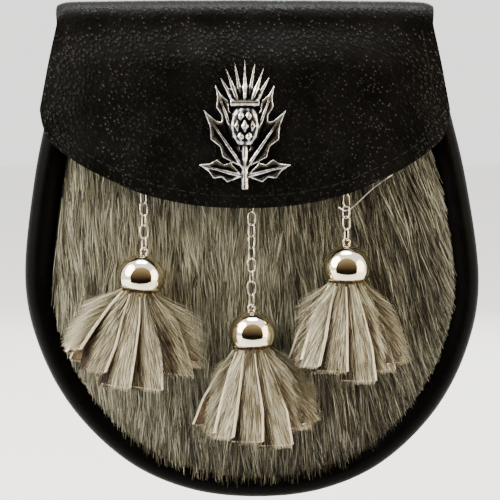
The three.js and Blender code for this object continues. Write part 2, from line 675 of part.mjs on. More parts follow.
// Pelt: hide behind the rim's lip, a cushion of pile on it and locks that lie over each other.
function furRing(inset, at) {
  const corners = outline(ROLL + inset, 36);
  return corners.map((corner, i) => {
    const end = i === 0 || i === corners.length - 1;
    return new THREE.Vector3(corner.x, forward(at), end ? corner.y - inset - GAP : corner.y);
  });
}

const furRings = [furRing(GAP, HIDE_FRONT - 0.6), furRing(GAP, HIDE_FRONT + 0.7),
  furRing(2.6, HIDE_FRONT + PILE * 0.7), furRing(7, HIDE_FRONT + PILE)];
const furContour = furRings[0].map((corner) => new THREE.Vector2(corner.x, corner.z));
let pelt = toSolid(leaned(loft(furRings, furContour)));
const hide = leaned(plate(outline(GUSSET_THICK + 1.2, 36), HIDE_FRONT - HIDE_THICK, HIDE_FRONT));
pelt = pelt.add(toSolid(hide));

// The pile is pressed flat where a chain, a dome or a skirt lies on it.
function pileAt(x, z, lift) {
  let limit = PILE + 1.9;
  for (const row of TASSELS) {
    const aside = Math.abs(x - row.x * HALF);
    const below = TOP - row.drop * HEIGHT - z;
    const reach = DOME + 2 + Math.max(0, below) * 0.5;
    if (aside < reach && below > -DOME - 5 && below < row.long * DOME + 4) limit = Math.min(limit, PILE + GAP);
    if (aside < 5 && below <= -DOME) limit = Math.min(limit, PILE + 2 * GAP);
  }
  return forward(HIDE_FRONT + Math.min(limit, PILE + lift));
}

const border = outline(ROLL + 1.5, 60);
function withinPile(x, z) {
  let inside = false;
  border.forEach((a, i) => {
    const b = border[(i + 1) % border.length];
    const crosses = (a.y > z) !== (b.y > z) && x < ((b.x - a.x) * (z - a.y)) / (b.y - a.y) + a.x;
    if (crosses) inside = !inside;
  });
  return inside;
}

// A lock: a long flat spindle, its root sunk in the cushion and its tip raised.
function lock(x, z, long, wide, slant) {
  const corner = (across, down, lift) => {
    const cx = x + across + slant * down * long;
    const cz = z - down * long;
    return { x: cx, y: pileAt(cx, cz, lift), z: cz };
  };
  const half = wide / 2;
  const corners = [corner(0, 0, -1.4), corner(-half, 0.5, -0.5), corner(0, 0.42, 1.8),
    corner(half, 0.5, -0.5), corner(0, 1, 1.1), corner(0, 0.6, -2.6)];
  if ([0, 1, 3, 4].some((i) => !withinPile(corners[i].x, corners[i].z))) return null;
  const points = corners.flatMap((c) => [c.x, c.y, c.z]);
  const faces = [0, 1, 2, 0, 2, 3, 1, 4, 2, 2, 4, 3, 0, 5, 1, 0, 3, 5, 1, 5, 4, 5, 3, 4];
  return leaned(meshOf(points, faces));
}

const LOCK_ROW = 17;
const LOCK_STEP = 14;
const LOCK_LONG = 29;
const LOCK_WIDE = 14.5;
const furFrom = TOP - 0.33 * HEIGHT;
for (let r = 0; furFrom - r * LOCK_ROW > BOTTOM + ROLL; r += 1) {
  for (let c = -8; c <= 8; c += 1) {
    const x = (c + (r % 2) / 2 + 0.3 * (random() - 0.5)) * LOCK_STEP;
    const z = furFrom - (r + 0.5 * (random() - 0.5)) * LOCK_ROW;
    const slant = 0.16 * (random() - 0.5) + Math.max(0, x / HALF) * 0.22;
    const wide = LOCK_WIDE * (0.85 + 0.3 * random());
    const whole = lock(x, z, LOCK_LONG, wide, slant) ?? lock(x, z, LOCK_LONG * 0.6, wide, slant);
    if (whole) pelt = pelt.add(toSolid(whole));
  }
}
for (const drill of drills) {
  pelt = pelt.subtract(drill);
}
const studHole = new THREE.CylinderGeometry(STUD + GAP, STUD + GAP, 12, 12);
pelt = pelt.subtract(toSolid(studHole.translate(0, forward(HIDE_FRONT + 6), studZ)));
add('fur_panel', fromSolid(pelt), fur);

export default group;
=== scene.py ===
import math
from collections import namedtuple
import bmesh
import bpy
import numpy as np
from mathutils import Matrix, Quaternion, Vector
from mathutils.bvhtree import BVHTree


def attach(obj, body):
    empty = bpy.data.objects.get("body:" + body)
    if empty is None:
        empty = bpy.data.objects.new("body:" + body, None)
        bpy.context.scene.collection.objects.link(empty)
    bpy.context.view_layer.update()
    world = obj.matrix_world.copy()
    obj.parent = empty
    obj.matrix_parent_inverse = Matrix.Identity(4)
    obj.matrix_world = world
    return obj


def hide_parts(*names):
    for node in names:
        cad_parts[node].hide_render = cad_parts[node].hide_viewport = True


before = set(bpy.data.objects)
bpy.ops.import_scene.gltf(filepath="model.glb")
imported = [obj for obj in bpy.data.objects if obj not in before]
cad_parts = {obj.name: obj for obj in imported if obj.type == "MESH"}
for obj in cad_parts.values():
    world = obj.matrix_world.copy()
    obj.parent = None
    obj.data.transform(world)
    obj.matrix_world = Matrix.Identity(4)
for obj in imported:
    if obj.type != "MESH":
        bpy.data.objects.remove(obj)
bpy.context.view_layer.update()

MM = 0.001


# Camera, floor and lights. The sporran hangs upright and is seen from the front, a little from
# above, through a long lens, on a plain pale ground under soft lamps.

camera = bpy.data.objects.new("camera", bpy.data.cameras.new("camera"))
bpy.context.collection.objects.link(camera)
camera.data.lens = 150
camera.data.sensor_width = 36
aim = Vector((2.1 * MM, -28 * MM, -47.7 * MM))
distance = 0.2095 * 150 / 36
look_down = math.radians(5)
camera.location = aim + distance * Vector((0, -math.cos(look_down), math.sin(look_down)))
camera.rotation_euler = (math.pi / 2 - look_down, 0, 0)
camera.data.clip_start = 0.01
bpy.context.scene.camera = camera


def linear(hex_colour):
    """An sRGB hex colour, turned to linear light."""
    value = hex_colour.lstrip("#")
    parts = [int(value[i:i + 2], 16) / 255 for i in (0, 2, 4)]
    return tuple(p / 12.92 if p <= 0.04045 else ((p + 0.055) / 1.055) ** 2.4 for p in parts) + (1.0,)


def node(tree, kind, settings=None, links=None):
    """Adds one shader node, sets its sockets and properties, and links its inputs."""
    made = tree.nodes.new(kind)
    for name, value in (settings or {}).items():
        if isinstance(name, int) or name in made.inputs:
            made.inputs[name].default_value = value
        else:
            setattr(made, name, value)
    for name, source in (links or {}).items():
        tree.links.new(source, made.inputs[name])
    return made


def material(name):
    """A new material with an empty tree."""
    made = bpy.data.materials.new(name)
    made.use_nodes = True
    made.node_tree.nodes.clear()
    return made, made.node_tree


def surface(tree, settings, links):
    """The shader that each finish ends in."""
    shader = node(tree, "ShaderNodeBsdfPrincipled", settings, links)
    node(tree, "ShaderNodeOutputMaterial", None, {"Surface": shader.outputs[0]})
    return shader


def ramp(tree, source, stops):
    """A colour ramp over (position, hex colour) stops."""
    made = node(tree, "ShaderNodeValToRGB", None, {"Fac": source})
    marks = made.color_ramp.elements
    while len(marks) < len(stops):
        marks.new(0.5)
    for mark, (position, colour) in zip(marks, stops):
        mark.position = position
        mark.color = linear(colour)
    return made.outputs["Color"]


floor_mesh = bmesh.new()
bmesh.ops.create_grid(floor_mesh, x_segments=1, y_segments=1, size=4)
bmesh.ops.translate(floor_mesh, verts=floor_mesh.verts, vec=(0, 0, -0.2))
floor = bpy.data.objects.new("floor", bpy.data.meshes.new("floor"))
floor_mesh.to_mesh(floor.data)
bpy.context.collection.objects.link(floor)
floor_paint, tree = material("matt white backdrop paint")
surface(tree, {"Base Color": linear("#f4f3f1"), "Roughness": 0.9}, {})
floor.data.materials.append(floor_paint)

# A dark flag between the camera and the sporran keeps the light at the sides, as in a light tent.
flag_mesh = bmesh.new()
bmesh.ops.create_circle(flag_mesh, cap_ends=True, segments=64, radius=0.4)
upright = Matrix.Rotation(math.pi / 2, 3, "X")
bmesh.ops.rotate(flag_mesh, verts=flag_mesh.verts, cent=(0, 0, 0), matrix=upright)
bmesh.ops.translate(flag_mesh, verts=flag_mesh.verts, vec=(0, -0.34, -0.03))
flag = bpy.data.objects.new("flag", bpy.data.meshes.new("flag"))
flag_mesh.to_mesh(flag.data)
bpy.context.collection.objects.link(flag)
flag_cloth, tree = material("faded black duvetyne flag cloth")
# Painted reflection: the cloth is graded from near black low down to brown-grey at the top, so the leather
# and the domes show a paler reflection of its upper part.
rise = node(tree, "ShaderNodeSeparateXYZ", None, {0: node(tree, "ShaderNodeTexCoord").outputs["Generated"]})
painted_reflection_grade = ramp(tree, rise.outputs["Z"], [(0.42, "#120f0b"), (0.6, "#4a4030"), (0.95, "#7d7056")])
surface(tree, {"Roughness": 1.0, "Specular IOR Level": 0.0}, {"Base Color": painted_reflection_grade})
flag.data.materials.append(flag_cloth)
flag.visible_camera = False

world = bpy.data.worlds.new("studio")
bpy.context.scene.world = world
world.use_nodes = True
world.node_tree.nodes["Background"].inputs["Color"].default_value = linear("#fbfaf8")
world.node_tree.nodes["Background"].inputs["Strength"].default_value = 1.9


def lamp(name, place, size, power, colour):
    """A round soft lamp, in metres and watts, that faces the sporran."""
    data = bpy.data.lights.new(name, "AREA")
    data.shape = "ELLIPSE"
    data.size, data.size_y = size
    data.energy = power
    data.color = linear(colour)[:3]
    made = bpy.data.objects.new(name, data)
    bpy.context.collection.objects.link(made)
    made.location = place
    made.rotation_euler = (aim - Vector(place)).to_track_quat("-Z", "Y").to_euler()


lamp("key", (-0.85, -0.42, 0.5), (0.9, 1.0), 30, "#fff6e6")
lamp("fill", (0.9, -0.36, 0.05), (0.8, 1.0), 13, "#ffe6ba")
lamp("top", (0.0, -0.12, 0.9), (0.7, 0.35), 12, "#ffffff")
lamp("behind", (0.1, 0.9, 0.3), (0.6, 0.6), 5, "#ffffff")


# The body's outline, shared by the leather and the pelt: a smooth curve through a short table
# of half widths, in shares of the widest half and of the body's height. It leans a little.

WIDTH, HEIGHT, DEPTH = 190.2, 208.5, 32.0
TOP = 0.27 * HEIGHT
HALF = WIDTH / 2
RIM_TOP = TOP - 0.046 * HEIGHT
BOTTOM = TOP - HEIGHT
BACK_INNER = -5.2
ROLL = 12.0
HIDE_FRONT = DEPTH - 6.3
PILE = 3.7
OUTLINE = [(0.8, 0), (0.864, 0.147), (0.947, 0.324), (1.0, 0.532), (0.947, 0.678),
           (0.802, 0.813), (0.567, 0.924), (0.298, 0.983), (0, 1)]


def smooth_curve(corners, steps):
    """Catmull-Rom through the corners, evenly spaced by length."""
    p = np.array(corners, float)
    p = np.vstack([2 * p[0] - p[1], p, 2 * p[-1] - p[-2]])
    t = np.linspace(0, 1, 40, endpoint=False)[:, None]
    runs = []
    for a, b, c, d in zip(p, p[1:], p[2:], p[3:]):
        v0, v1 = (c - a) / 2, (d - b) / 2
        runs.append((2 * b - 2 * c + v0 + v1) * t ** 3 + (-3 * b + 3 * c - 2 * v0 - v1) * t ** 2
                    + v0 * t + b)
    fine = np.vstack(runs + [p[-2][None]])
    length = np.concatenate([[0], np.cumsum(np.linalg.norm(np.diff(fine, axis=0), axis=1))])
    at = np.linspace(0, length[-1], steps + 1)
    return np.column_stack([np.interp(at, length, fine[:, i]) for i in range(p.shape[1])])


def lean(z):
    """How far the body hangs over to the right at a height."""
    return 0.7 + 0.0193 * (TOP - z)


right = [(h * HALF, RIM_TOP - d * (RIM_TOP - BOTTOM)) for h, d in OUTLINE]
left = [(-x, z) for x, z in right[:-1]]


def outline(inset, steps):
    """Points of the outline at some distance inside it, not leaned, in millimetres."""
    line = smooth_curve(left + right[::-1], steps)
    along = np.gradient(line, axis=0)
    along /= np.linalg.norm(along, axis=1)[:, None]
    inward = np.column_stack([-along[:, 1], along[:, 0]])
    inward[0], inward[-1] = (1, 0), (-1, 0)
    return line + inset * inward


def shown(name, mesh, finish, nodes=()):
    """Puts a finished bmesh in the scene, on the one body of the sporran."""
    data = bpy.data.meshes.new(name)
    mesh.to_mesh(data)
    mesh.free()
    made = bpy.data.objects.new(name, data)
    bpy.context.collection.objects.link(made)
    made.data.shade_smooth()
    made.data.materials.append(finish)
    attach(made, "root")
    if nodes:
        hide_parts(*nodes)
    return made


# Back panel and strap loops: flat calf leather, dyed black through and finished smooth. The
# loops are strips sewn to the back, and the waist strap runs through them.


def smooth_leather():
    """Finished calf: an even satin black, a fine grain that only shows in its gloss."""
    made, tree = material("black aniline-finished calf leather")
    place = node(tree, "ShaderNodeTexCoord").outputs["Object"]
    # Hair-cell grain about 0.6 mm across, soft creases of about 8 mm, pores here and there.
    grain = node(tree, "ShaderNodeTexVoronoi", {"Scale": 1600.0}, {"Vector": place})
    cloud = node(tree, "ShaderNodeTexNoise", {"Scale": 120.0, "Detail": 4.0}, {"Vector": place})
    speck = node(tree, "ShaderNodeTexNoise", {"Scale": 900.0, "Detail": 3.0}, {"Vector": place})
    colour = ramp(tree, cloud.outputs["Fac"], [(0.3, "#020201"), (0.7, "#050404")])
    rough = node(tree, "ShaderNodeMapRange", {1: 0.3, 2: 0.7, 3: 0.4, 4: 0.58},
                 {"Value": speck.outputs["Fac"]})
    total = node(tree, "ShaderNodeMath", {"operation": "MULTIPLY_ADD", 1: 0.5},
                 {0: grain.outputs["Distance"], 2: cloud.outputs["Fac"]})
    bump = node(tree, "ShaderNodeBump", {"Strength": 0.5, "Distance": 0.0004},
                {"Height": total.outputs[0]})
    surface(tree, {"Specular IOR Level": 0.3, "IOR": 1.13},
            {"Base Color": colour, "Roughness": rough.outputs[0], "Normal": bump.outputs[0]})
    return made


calf = smooth_leather()
for name in ("back_panel", "strap_loop_left", "strap_loop_right"):
    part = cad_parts[name]
    part.data.materials.clear()
    part.data.materials.append(calf)


# Side rim: one piece of calf, lasted round the pouch. It is the gusset, and turns over cord
# filler to make the padded roll that holds the pelt down at the front.

SECTION = [(0.75, 0.006), (0, 0.006), (0, 0.35), (0, 0.7), (0.06, 0.85), (0.2, 0.95), (0.43, 1),
           (0.7, 0.965), (0.92, 0.88), (1, 0.8125)]


def grid(columns, rows, place):
    """A grid whose corners are moved to place(across, along), both from 0 to 1, in millimetres."""
    mesh = bmesh.new()
    bmesh.ops.create_grid(mesh, x_segments=columns, y_segments=rows, size=0.5, calc_uvs=True)
    for v in mesh.verts:
        v.co = Vector(place(v.co.x + 0.5, v.co.y + 0.5)) * MM
    return mesh


RIM_STEPS, RIM_WALL = 240, 1.9
rim_outer, rim_inner = outline(0, RIM_STEPS), outline(ROLL, RIM_STEPS)
section_line = smooth_curve([(i * ROLL, f * DEPTH) for i, f in SECTION[1:]], 60)
section_line = np.vstack([[(SECTION[0][0] * ROLL, SECTION[0][1] * DEPTH)], section_line])


def rim_place(along, across):
    """A place on the rim: along the outline, and across its rolled section."""
    i = along * RIM_STEPS
    k = min(int(i), RIM_STEPS - 1)
    a = rim_outer[k] + (rim_outer[k + 1] - rim_outer[k]) * (i - k)
    b = rim_inner[k] + (rim_inner[k + 1] - rim_inner[k]) * (i - k)
    s = across * (len(section_line) - 1)
    j = min(int(s), len(section_line) - 2)
    inset, ahead = section_line[j] + (section_line[j + 1] - section_line[j]) * (s - j)
    x, z = a + (b - a) * inset / ROLL
    return x + lean(z), BACK_INNER - ahead, z


mesh = grid(200, 46, rim_place)
bmesh.ops.recalc_face_normals(mesh, faces=mesh.faces)
rim = shown("rim_leather", mesh, calf, ["side_rim"])
wall = rim.modifiers.new("wall", "SOLIDIFY")
wall.thickness, wall.offset = RIM_WALL * MM, 1


# Flap: thicker cowhide with a printed pore grain, cut to a shield, sewn to the back, folded
# over the mouth and lock-stitched all round its free edge.

FLAP_EDGE = [(0, 1), (0.15, 0.995), (0.3, 0.978), (0.5, 0.932), (0.66, 0.865), (0.82, 0.782),
             (0.95, 0.68), (0.985, 0.607), (1, 0.53)]
FLAP_HALF, FLAP_FLARE, FLAP_DROP = 0.79 * HALF, 0.092 * HALF, 0.409 * HEIGHT
FLAP_THICK, FOLD_FRONT, FOLD_BACK, BULGE, TAIL = 2.6, 5.4, 2.2, 5.4, 0.125 * HEIGHT
CROWN = 0.7
flap_line = smooth_curve([(-a, d) for a, d in FLAP_EDGE[1:][::-1]] + FLAP_EDGE, 400)


def flap_half(z):
    """Half the flap's width at a height: it widens from the fold down to its corners."""
    return FLAP_HALF + FLAP_FLARE * min(1, max(0, (TOP - z) / (FLAP_DROP * 0.53)))


def flap_place(u, v):
    """A place on the flap's inner face: u across it, v from its sewn tail to its free edge."""
    across = math.sin((u - 0.5) * math.pi)
    top = TOP - FLAP_THICK - CROWN * across * across - 1.2 * abs(across) ** 50
    tail_half = FLAP_HALF * 0.93
    back_y, front_y = -2.8, BACK_INNER - DEPTH - 0.5
    if v < 0.14:
        end = TOP - TAIL + 3 * across ** 6
        return tail_half * across, back_y, end + (top - FOLD_BACK - end) * v / 0.14
    if v < 0.2:
        share = (v - 0.14) / 0.06
        turn = share * math.pi / 2
        half = tail_half + (FLAP_HALF - tail_half) * share
        return (half * across, back_y - FOLD_BACK * (1 - math.cos(turn)),
                top - FOLD_BACK * (1 - math.sin(turn)))
    if v < 0.3:
        share = (v - 0.2) / 0.1
        start, stop = back_y - FOLD_BACK, front_y + FOLD_FRONT
        return FLAP_HALF * across, start + (stop - start) * share, top
    if v < 0.4:
        turn = (v - 0.3) / 0.1 * math.pi / 2
        z = top - FOLD_FRONT * (1 - math.cos(turn))
        return flap_half(z) * across, front_y + FOLD_FRONT * (1 - math.sin(turn)), z
    start = top - FOLD_FRONT
    end = TOP - np.interp(across, flap_line[:, 0], flap_line[:, 1]) * FLAP_DROP
    z = start + (end - start) * (v - 0.4) / 0.6
    share = min(1, max(0, (TOP - FLAP_THICK - FOLD_FRONT - z) / (0.1 * HEIGHT)))
    press = BULGE * share * share * (3 - 2 * share) * (1 - abs(across) ** 3)
    return flap_half(z) * across, front_y - press, z


def printed_leather():
    """Corrected cowhide: black and semi-gloss, with rows of small slanting pebbles pressed in."""
    made, tree = material("black plated cowhide with printed pore grain")
    place = node(tree, "ShaderNodeTexCoord").outputs["Object"]
    # The print's pebbles stand about 1.9 by 1.2 mm apart, in rows that slant by 50 degrees.
    slant = node(tree, "ShaderNodeMapping",
                 {"vector_type": "TEXTURE", "Rotation": (0, math.radians(50), 0),
                  "Scale": (0.0019, 0.0033, 0.0012)}, {"Vector": place})
    pebble = node(tree, "ShaderNodeTexVoronoi", {"Scale": 1.0, "Randomness": 0.75},
                  {"Vector": slant.outputs[0]})
    crease = node(tree, "ShaderNodeTexNoise", {"Scale": 1.6, "Detail": 3.0}, {"Vector": slant.outputs[0]})
    cloud = node(tree, "ShaderNodeTexNoise", {"Scale": 60.0, "Detail": 5.0}, {"Vector": place})
    dome = node(tree, "ShaderNodeMapRange", {1: 0.1, 2: 0.62, 3: 1.0, 4: 0.0,
                "interpolation_type": "SMOOTHSTEP"}, {"Value": pebble.outputs["Distance"]})
    height = node(tree, "ShaderNodeMath", {"operation": "MULTIPLY_ADD", 1: 0.6},
                  {0: crease.outputs["Fac"], 2: dome.outputs[0]})
    bump = node(tree, "ShaderNodeBump", {"Strength": 0.4, "Distance": 0.00035},
                {"Height": height.outputs[0]})
    base = ramp(tree, cloud.outputs["Fac"], [(0.3, "#020201"), (0.7, "#050404")])
    # Painted highlight: some of the pebbles' crowns are coloured greyer, standing for the glints that the
    # lamps make on their tops.
    painted_glint_mask = node(tree, "ShaderNodeMapRange", {1: 0.06, 2: 0.22, 3: 1.0, 4: 0.0,
                 "interpolation_type": "SMOOTHSTEP"}, {"Value": pebble.outputs["Distance"]})
    painted_glint_share = node(tree, "ShaderNodeMath", {"operation": "MULTIPLY"},
                {0: painted_glint_mask.outputs[0], 1: pebble.outputs["Color"]})
    painted_glint_colour = node(tree, "ShaderNodeMix", {"data_type": "RGBA"},
                  {"Factor": painted_glint_share.outputs[0], "A": base})
    painted_glint_colour.inputs["B"].default_value = linear("#56524d")
    rough = node(tree, "ShaderNodeMapRange", {1: 0.3, 2: 0.7, 3: 0.34, 4: 0.46},
                 {"Value": cloud.outputs["Fac"]})
    surface(tree, {"Specular IOR Level": 0.5, "IOR": 1.22},
            {"Base Color": painted_glint_colour.outputs["Result"], "Roughness": rough.outputs[0],
             "Normal": bump.outputs[0]})
    return made


cowhide = printed_leather()
mesh = grid(96, 130, flap_place)
bmesh.ops.recalc_face_normals(mesh, faces=mesh.faces)
middle = min(mesh.faces, key=lambda f: (f.calc_center_median() - Vector((0, -0.045, 0))).length)
if middle.normal.y > 0:
    bmesh.ops.reverse_faces(mesh, faces=mesh.faces)
flap = shown("flap_leather", mesh, cowhide, ["flap"])
wall = flap.modifiers.new("wall", "SOLIDIFY")
wall.thickness, wall.offset = FLAP_THICK * MM, 1
edge = flap.modifiers.new("edge", "BEVEL")
edge.width, edge.segments, edge.limit_method, edge.angle_limit = 0.6 * MM, 2, "ANGLE", math.radians(50)

# Thread of the flap: waxed black linen, lock-stitched 4.5 mm apart and sunk in punched holes.


def waxed_thread():
    """Waxed linen thread: black, with a dull shine along each stitch."""
    made, tree = material("waxed black linen thread")
    place = node(tree, "ShaderNodeTexCoord").outputs["Object"]
    twist = node(tree, "ShaderNodeTexNoise", {"Scale": 2200.0, "Detail": 2.0}, {"Vector": place})
    colour = ramp(tree, twist.outputs["Fac"], [(0.35, "#020202"), (0.65, "#0d0b09")])
    bump = node(tree, "ShaderNodeBump", {"Strength": 0.4, "Distance": 0.0001},
                {"Height": twist.outputs["Fac"]})
    surface(tree, {"Roughness": 0.55, "Specular IOR Level": 0.12},
            {"Base Color": colour, "Normal": bump.outputs[0]})
    return made


thread = waxed_thread()
STITCH_PITCH, STITCH_LONG, THREAD, SEAM_INSET = 4.5, 3.4, 0.75, 5.0
TAIL_SEAM_HALF, TAIL_ROWS, TAIL_PITCH, TAIL_LONG = 66, (4, 9), 4.2, 3.2
LOOP_X, LOOP_SEAM_Z, LOOP_SEAM_HALF, LOOP_PITCH, LOOP_LONG, LOOP_THREAD = 0.4 * HALF, 21, 8, 3.2, 2.5, 0.7


def stitches(mesh, line, pitch, long, thick, out):
    """Adds one slightly sunk stitch after another along a line of points, in millimetres."""
    line = np.array(line, float)
    length = np.concatenate([[0], np.cumsum(np.linalg.norm(np.diff(line, axis=0), axis=1))])
    for at in np.arange(pitch / 2, length[-1] - pitch / 2, pitch):
        a, b = (np.array([np.interp(s, length, line[:, i]) for i in range(3)])
                for s in (at - long / 2, at + long / 2))
        along = Vector(b - a)
        made = bmesh.ops.create_uvsphere(mesh, u_segments=8, v_segments=6, radius=1)["verts"]
        bmesh.ops.scale(mesh, verts=made, vec=Vector((thick / 2, thick / 2, along.length / 2)) * MM)
        turn = along.to_track_quat("Z", "X").to_matrix()
        bmesh.ops.rotate(mesh, verts=made, cent=(0, 0, 0), matrix=turn)
        bmesh.ops.translate(mesh, verts=made, vec=(Vector((a + b) / 2) + Vector(out)) * MM)


def flap_front(x, z):
    """The flap's outer face at a place on its front."""
    share = min(1, max(0, (TOP - FLAP_THICK - FOLD_FRONT - z) / (0.1 * HEIGHT)))
    across = min(1, abs(x) / flap_half(z))
    press = BULGE * share * share * (3 - 2 * share) * (1 - across ** 3)
    return BACK_INNER - DEPTH - 0.5 - press - FLAP_THICK


edge_across = np.concatenate([np.full(30, -1.0), np.sin(np.linspace(-math.pi / 2, math.pi / 2, 160)),
                              np.full(30, 1.0)])
edge_z = np.interp(edge_across, flap_line[:, 0], TOP - flap_line[:, 1] * FLAP_DROP)
edge_z[:30] = np.linspace(TOP - 9, edge_z[30], 30, endpoint=False)
edge_z[-30:] = edge_z[:30][::-1]
edge_x = np.array([a * flap_half(z) for a, z in zip(edge_across, edge_z)])
edge_line = np.column_stack([edge_x, edge_z])
along = np.gradient(edge_line, axis=0)
along /= np.linalg.norm(along, axis=1)[:, None]
seam = edge_line + SEAM_INSET * np.column_stack([-along[:, 1], along[:, 0]])
seam = np.array([(x, flap_front(x, z), z) for x, z in seam])
mesh = bmesh.new()
stitches(mesh, seam, STITCH_PITCH, STITCH_LONG, THREAD, (0, 0.1, 0))
for above in TAIL_ROWS:
    z = TOP - TAIL + above
    stitches(mesh, [(-TAIL_SEAM_HALF, -0.15, z), (TAIL_SEAM_HALF, -0.15, z)],
             TAIL_PITCH, TAIL_LONG, THREAD, (0, 0, 0))
for side in (-1, 1):
    for z in (-LOOP_SEAM_Z, LOOP_SEAM_Z):
        x = side * LOOP_X
        stitches(mesh, [(x - LOOP_SEAM_HALF, -0.8, z), (x + LOOP_SEAM_HALF, -0.8, z)],
                 LOOP_PITCH, LOOP_LONG, LOOP_THREAD, (0, 0, 0))
shown("seam_thread", mesh, thread)


# Chains, staples, stud and tie wire: nickel-plated steel cable chain, 0.65 mm wire, 4.8 mm pitch.
# Each chain hangs from a staple under the flap and carries a tassel by the eye of its dome.

# x and top: where the tassel and its chain's head are, in half widths. drop: the dome's centre
# below the top, in heights. links, then tilt and roll in degrees. wide, deep, back and long: the
# skirt's reach to the sides, forward and back, and its length, in dome radii. turn: the first
# strip's place, and settle: how far the links turn, in degrees. lift: how much the hem rises at
# the sides, in dome radii. airy: how far hair stands off at the left and right, in millimetres.
Tassel = namedtuple("Tassel", "name x top drop links tilt roll wide deep back long strips turn "
                              "settle lift airy_left airy_right")
TASSELS = [
    Tassel("left", -0.449, -0.441, 0.5455, 7, 1, -7, 2.72, 1.2, 0.91, 4.6, 12, 4, 8, 1.2, 13, 16),
    Tassel("middle", 0.033, 0.028, 0.658, 11, 1, 2.5, 2.36, 1.15, 0.87, 4.62, 11, 12, -14, 0.72, 7, 9),
    Tassel("right", 0.44, 0.439, 0.5275, 5, 1, 0.5, 2.26, 1.15, 0.87, 4.58, 11, 3, 16, 0.72, 9, 7)]
LINK_LONG, LINK_WIDE, LINK_WIRE, PLAY, STAPLE_WIRE, CHAIN_TURN = 6.3, 4.1, 0.65, 0.2, 1.0, 34
PITCH = LINK_LONG - 2 * LINK_WIRE - PLAY
DOME, DOME_WALL, EYE, EYE_WIRE = 9.75, 0.8, 1.35, 0.75
DOME_CUT, EYE_RISE, PELT_GAP = 0.47 * DOME, 0.1 * DOME, 1.3


def plated(name, tint, rough, bumps):
    """Plated or bright-drawn metal: a mirror, softly dented and finely scuffed."""
    made, tree = material(name)
    place = node(tree, "ShaderNodeTexCoord").outputs["Object"]
    dents = node(tree, "ShaderNodeTexNoise", {"Scale": 160.0, "Detail": 1.0}, {"Vector": place})
    scuff = node(tree, "ShaderNodeTexNoise", {"Scale": 900.0, "Detail": 6.0}, {"Vector": place})
    bump = node(tree, "ShaderNodeBump", {"Strength": bumps, "Distance": 0.0005},
                {"Height": dents.outputs["Fac"]})
    gloss = node(tree, "ShaderNodeMapRange", {1: 0.35, 2: 0.7, 3: rough, 4: rough * 2.4},
                 {"Value": scuff.outputs["Fac"]})
    surface(tree, {"Base Color": linear(tint), "Metallic": 1.0},
            {"Roughness": gloss.outputs[0], "Normal": bump.outputs[0]})
    return made


chain_plate = plated("nickel-plated chain wire", "#c9c5bb", 0.1, 0.1)
bright_wire = plated("bright-drawn soft steel wire", "#f4f2ee", 0.3, 0.05)
dome_plate = plated("polished nickel plate on spun brass", "#efe4cc", 0.035, 0.16)


def tassel_frame(row):
    """Where a tassel's dome is, and how it is turned, in millimetres."""
    ahead = HIDE_FRONT + PILE + DOME + PELT_GAP
    centre = Vector((row.x * HALF, BACK_INNER - ahead, TOP - row.drop * HEIGHT))
    turn = (Matrix.Rotation(-math.radians(row.roll), 4, "Y")
            @ Matrix.Rotation(-math.radians(row.tilt), 4, "X"))
    return Matrix.Translation(centre) @ turn


for row in TASSELS:
    eye = tassel_frame(row) @ Vector((0, 0, DOME + EYE_RISE))
    first = LINK_LONG / 2 - LINK_WIRE - (STAPLE_WIRE + PLAY) / 2
    length = first + PITCH * (row.links - 1) + LINK_LONG / 2 - LINK_WIRE + EYE - EYE_WIRE / 2 - PLAY / 2
    aside, behind = row.top * HALF - eye.x, BACK_INNER - DEPTH - 0.6 - eye.y
    head = Vector((aside, behind, math.sqrt(length ** 2 - aside ** 2 - behind ** 2))) + eye
    down = (eye - head).normalized()
    hang = Vector((0, 0, -1)).rotation_difference(down)
    mesh = bmesh.new()
    for i in range(row.links):
        # The wire's round section is spun about the Y axis, and the ring is then drawn out long.
        made = bmesh.ops.create_circle(mesh, segments=8, radius=LINK_WIRE / 2)["verts"]
        bmesh.ops.translate(mesh, verts=made, vec=((LINK_WIDE - LINK_WIRE) / 2, 0, 0))
        edges = [e for e in mesh.edges if e.verts[0] in made]
        bmesh.ops.spin(mesh, geom=made + edges, cent=(0, 0, 0), axis=(0, 1, 0),
                       angle=math.tau, steps=28, use_merge=True)
        fresh = [v for v in mesh.verts if not v.tag]
        for v in fresh:
            v.tag = True
            v.co.z += max(-1, min(1, v.co.z / 0.35)) * (LINK_LONG - LINK_WIDE) / 2
        settle = row.settle * math.sin(i * 0.9 + 0.35) * min(1, i / 2)
        turn = math.radians((90 if i % 2 == 0 else 0) + CHAIN_TURN + settle)
        spin = Quaternion((0, 0, 1), turn).to_matrix().to_4x4()
        place = Matrix.Translation(head + down * (first + i * PITCH)) @ hang.to_matrix().to_4x4() @ spin
        bmesh.ops.transform(mesh, matrix=Matrix.Scale(MM, 4) @ place, verts=fresh)
    bmesh.ops.recalc_face_normals(mesh, faces=mesh.faces)
    shown("chain_" + row.name, mesh, chain_plate,
          ["link_%s_%d" % (row.name, i + 1) for i in range(row.links)])
staples = ("chain_staple_left", "chain_staple_middle", "chain_staple_right", "flap_stud")
for name, finish in [(staple, chain_plate) for staple in staples] + [("tie_wire", bright_wire)]:
    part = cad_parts[name]
    part.data.materials.clear()
    part.data.materials.append(finish)


# Tassel domes: spun brass cups, nickel-plated and polished, with a wire eye brazed on top. The
# lip is turned, and grips the tassel's head.

